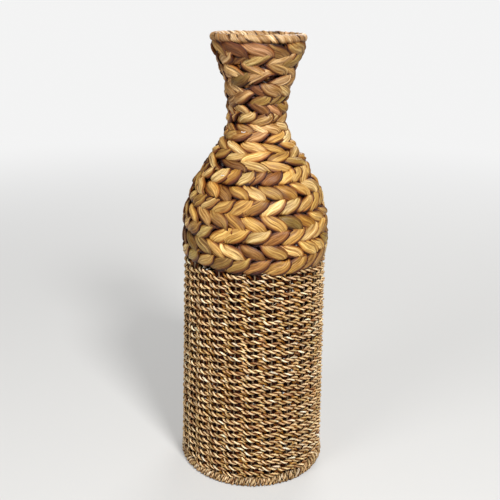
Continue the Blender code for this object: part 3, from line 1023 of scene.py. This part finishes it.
def make_base(finish):
    """Base woven in a spiral round straight stakes."""
    rng = np.random.default_rng(BASE_SEED)
    share = np.arange(BASE_STEPS + 1) / BASE_STEPS
    angle = FULL_TURN * BASE_TURNS * share ** 0.5
    radius = np.minimum(BASE_EYE + BASE_PITCH * angle / FULL_TURN, BASE_REACH)
    slack = drift(rng, share * BASE_LENGTH, *BASE_SLACK)
    z = BASE_Z + BASE_SWING * np.cos(angle * BASE_STAKES / 2) + slack
    path = polar(angle, radius, z)
    normal = np.tile([0.0, 0.0, 1.0], (len(path), 1))
    strands = Strands()
    for ply, (rings, tones, _) in enumerate(rope_plies(rng, path, normal, BASE_ROPE)):
        strands.add(rings, tones, BASE_ROPE.girth, offset=BASE_PLACE + PLY_SHIFT * ply)
    reach = np.linspace(STAKE_INNER, STAKE_OUTER, STAKE_POINTS)
    for stake in range(BASE_STAKES):
        turn = FULL_TURN * stake / BASE_STAKES
        line = np.stack([reach * math.cos(turn), reach * math.sin(turn), 0 * reach + STAKE_Z], axis=-1)
        strands.add(*round_tube(line, STAKE_RADIUS, STAKE_SIDES, STAKE_BROWN), STAKE_GIRTH,
                    offset=STAKE_PLACE + stake)
    dress(strands, "base_weave", finish, "seagrass_rope", "base_panel")


# Loose fibres: how many, and the ranges of their height, length, radius and stand-off
Fray = namedtuple("Fray", "count low length radius stand out")
BODY_FRAYS = Fray(170, (0.012, 0.308), (0.004, 0.010), (0.00014, 0.00022), (0.0005, 0.0022), 0.0048)
WAIST_ENDS = Fray(30, (0.3085, 0.3145), (0.005, 0.011), (0.0006, 0.0010), (0.0, 0.0020), 0.0030)
FRAY_POINTS = 7
FRAY_SIDES = 4
FRAY_GIRTH = 0.0012
FRAY_SWEEP_RANGE = (0.5, 1.0)
FRAY_CLIMB_RANGE = (-0.5, 0.3)
FRAY_LIGHT_RANGE = (0.6, 1.0)
FRAY_CURL = 0.0006
FRAY_TAPER = 0.75
CREAM_SHARE = 0.6


def make_frays(finish):
    """Fine fibres that stand off the ropes, and cut strip ends in the gap at the waist."""
    rng = np.random.default_rng(FRAY_SEED)
    strands = Strands()
    share = np.linspace(0, 1, FRAY_POINTS)
    taper = (1 - FRAY_TAPER * share ** 2)[:, None, None]
    for count, kind in enumerate([BODY_FRAYS] * BODY_FRAYS.count + [WAIST_ENDS] * WAIST_ENDS.count):
        start = rng.uniform(0, FULL_TURN)
        low = rng.uniform(*kind.low)
        length = rng.uniform(*kind.length)
        radius = rng.uniform(*kind.radius)
        sweep = rng.choice([-1.0, 1.0]) * rng.uniform(*FRAY_SWEEP_RANGE) * length / BODY_RADIUS
        climb = rng.uniform(*FRAY_CLIMB_RANGE) * length
        stand = rng.uniform(*kind.stand)
        out = kind.out + stand * share ** 2 - FRAY_CURL * (1 - share)
        path = wall_point(start + sweep * share, low + climb * share + FRAY_CURL * np.sin(4 * share), out)
        tone = (CREAM if rng.uniform() < CREAM_SHARE else STRAW) * rng.uniform(*FRAY_LIGHT_RANGE)
        rings, tones = round_tube(path, radius, FRAY_SIDES, tone)
        rings = path[:, None] + (rings - path[:, None]) * taper
        strands.add(rings, tones, FRAY_GIRTH, offset=FRAY_PLACE + FRAY_SHIFT * count)
    dress(strands, "loose_fibres", finish, "seagrass_rope")


# Wires
WIRE_SIDES = 8
WIRE_STEP = 0.006
RING_STEPS = 96
WELD_DEPTH = 0.0006

# Two bent ends of wire: angle in degrees, height, and how far they stand out; arc and its points
WIRE_ENDS = ((-126.0, 0.4262, 0.0094), (-115.0, 0.4795, 0.0082))
END_ARC = (3.3, 6.1, 12)
END_RADIUS = 0.0006
END_SIDES = 6
END_GIRTH = 0.0036
END_HALF_WIDTH = 0.0027
END_HALF_HEIGHT = 0.0020
END_DIP = 0.0024


def make_wires(finish):
    """Uprights, every second one up to the rim, and the rings that they are welded to."""
    strands = Strands()
    girth = FULL_TURN * UPRIGHT_DIAMETER / 2
    for count in range(UPRIGHTS):
        top = RIM_RING_Z if count % 2 == 0 else SHOULDER_RING_Z
        z = np.linspace(FOOT_RING_Z, top, int((top - FOOT_RING_Z) / WIRE_STEP))
        path = wall_point(FULL_TURN * count / UPRIGHTS, z)
        strands.add(*round_tube(path, UPRIGHT_DIAMETER / 2, WIRE_SIDES, WIRE_PALE), girth)
    inset = (UPRIGHT_DIAMETER + RING_DIAMETER) / 2 - WELD_DEPTH
    angle = FULL_TURN * np.arange(RING_STEPS) / RING_STEPS
    for z, out in ((FOOT_RING_Z, 0.0), (WAIST_RING_Z, -inset), (SHOULDER_RING_Z, -inset), (RIM_RING_Z, 0.0)):
        path = wall_point(angle, z, out)
        rings, tones = round_tube(path, RING_DIAMETER / 2, WIRE_SIDES, WIRE_PALE, closed=True)
        strands.add(rings, tones, girth, closed=True)
    dress(strands, "frame_wires", finish, "pale_wire", "wire_frame")


def make_wire_ends(finish):
    """Small bent ends of the frame's wire that show between two rows."""
    strands = Strands()
    turn = np.linspace(*END_ARC)
    for degrees, z, proud in WIRE_ENDS:
        angle = math.radians(degrees) + END_HALF_WIDTH * np.cos(turn) / outline_radius(z)
        path = wall_point(angle, z, proud - END_DIP * np.cos(turn) ** 4, END_HALF_HEIGHT * np.sin(turn))
        strands.add(*round_tube(path, END_RADIUS, END_SIDES, WIRE_WHITE), END_GIRTH)
    dress(strands, "wire_ends", finish, "pale_wire")


# Stage: floor, lamps (name, place, size, power) and world
BACKDROP = (0.90, 0.90, 0.90, 1)
FLOOR_COLOUR = (0.60, 0.595, 0.58, 1)
FLOOR_ROUGHNESS, FLOOR_GLOSS = 0.9, 0.1
FLOOR_REACH = 30.0
FLOOR_DROP = 0.0002
FADE_START, FADE_END, FADE_LEAST = 0.25, 2.6, 0.25
LAMPS = (("key", (0.68, -1.42, 1.78), 0.5, 54.5),
         ("fill", (-1.4, -1.3, 1.2), 1.0, 19.0),
         ("back", (0.5, 1.8, 1.6), 1.2, 22.0))
LAMP_TARGET = (0.0, 0.0, 0.3)
WORLD_COLOUR = (1.0, 0.99, 0.97, 1)
WORLD_STRENGTH = 0.20


def pose(right, up, back, place):
    """Matrix of a lamp or camera from its axes and place."""
    return Matrix([[right[i], up[i], back[i], place[i]] for i in range(3)] + [[0, 0, 0, 1]])


def make_floor():
    """Pale floor that keeps the vase's shadow and fades into the backdrop for the camera."""
    near, far = -FLOOR_REACH, FLOOR_REACH
    floor = bpy.data.meshes.new("floor")
    floor.from_pydata([(near, near, 0), (far, near, 0), (far, far, 0), (near, far, 0)], [], [(0, 1, 2, 3)])
    ground = place_object("floor", floor)
    ground.location.z = -FLOOR_DROP
    paint = bpy.data.materials.new("floor_paint")
    nodes = Nodes(paint)
    shader = nodes.feed_named("Principled BSDF", {
        "Base Color": FLOOR_COLOUR, "Roughness": FLOOR_ROUGHNESS, "Specular IOR Level": FLOOR_GLOSS})
    length = nodes.add("VectorMath", "Value", {0: nodes.add("TexCoord", "Object")}, operation="LENGTH")
    fading = {"Value": length, "From Min": FADE_START, "From Max": FADE_END, "To Min": FADE_LEAST}
    fade = nodes.add("MapRange", "Result", fading, interpolation_type="SMOOTHSTEP")
    seen = nodes.maths("MULTIPLY", fade, nodes.add("LightPath", "Is Camera Ray"))
    pale = nodes.add("Emission", "Emission", {"Color": BACKDROP})
    mix = nodes.add("MixShader", "Shader", {"Fac": seen, 1: shader.outputs["BSDF"], 2: pale})
    nodes.feed_named("Material Output", {"Surface": mix})
    floor.materials.append(paint)


def make_lamps():
    for name, place, size, power in LAMPS:
        light = bpy.data.lights.new(name, "AREA")
        light.shape = "DISK"
        light.size = size
        light.energy = power
        back = unit(np.array(place) - LAMP_TARGET)
        right = unit(np.cross([0.0, 0.0, 1.0], back))
        place_object(name, light).matrix_world = pose(right, np.cross(back, right), back, place)


def make_world():
    """Soft light from all round, with the backdrop's colour for the camera."""
    world = bpy.data.worlds.new("studio")
    bpy.context.scene.world = world
    nodes = Nodes(world)
    shade = nodes.feed_named("Background", {"Color": WORLD_COLOUR, "Strength": WORLD_STRENGTH})
    seen = nodes.add("Background", "Background", {"Color": BACKDROP})
    ray = nodes.add("LightPath", "Is Camera Ray")
    mix = nodes.add("MixShader", "Shader", {"Fac": ray, 1: shade.outputs["Background"], 2: seen})
    nodes.feed_named("World Output", {"Surface": mix})


# Camera of the photo, whose picture is square
CAMERA_PITCH = math.radians(18.89)
CAMERA_ROLL = math.radians(0.88)
CAMERA_PLACE = (-0.0065, -0.960, 0.640)
FOCAL_PIXELS = 736.1
PICTURE_PIXELS = 500
SENSOR_WIDTH = 36.0


def make_camera():
    back = np.array([0.0, -math.cos(CAMERA_PITCH), math.sin(CAMERA_PITCH)])
    side = np.array([1.0, 0.0, 0.0])
    rise = np.array([0.0, math.sin(CAMERA_PITCH), math.cos(CAMERA_PITCH)])
    right = math.cos(CAMERA_ROLL) * side + math.sin(CAMERA_ROLL) * rise
    up = math.cos(CAMERA_ROLL) * rise - math.sin(CAMERA_ROLL) * side
    view = bpy.data.cameras.new("camera")
    view.sensor_width = SENSOR_WIDTH
    view.lens = FOCAL_PIXELS * SENSOR_WIDTH / PICTURE_PIXELS
    camera = place_object("camera", view)
    camera.matrix_world = pose(right, up, back, CAMERA_PLACE)
    bpy.context.scene.camera = camera


bpy.context.scene.view_settings.view_transform = "Standard"
make_camera()
make_floor()
make_lamps()
make_world()
seagrass = fibre_material("seagrass_fibre", streak=(0.0009, 0.011), fine=(0.0003, 0.005), contrast=0.40,
                          roughness=0.68, gloss=0.20, relief=0.0007, warm=(0.82, 0.68, 0.50))
hyacinth = fibre_material("hyacinth_fibre", streak=(0.0020, 0.026), fine=(0.0006, 0.012), contrast=0.36,
                          roughness=0.44, gloss=0.34, relief=0.0008, warm=(0.84, 0.66, 0.42))
# The frame's wire is given a dark brown as painted shade, for the shade it lies in between the strands
wire = wire_material("wire_painted_shade_finish", dark=(0.13, 0.08, 0.04), pale=(0.28, 0.19, 0.11))
white_wire = wire_material("white_wire_finish", dark=(0.62, 0.55, 0.50), pale=(0.86, 0.82, 0.78))
make_weavers(seagrass)
make_strips(hyacinth)
make_rim(hyacinth)
make_foot(seagrass)
make_base(seagrass)
make_wires(wire)
make_wire_ends(white_wire)
make_frays(seagrass)
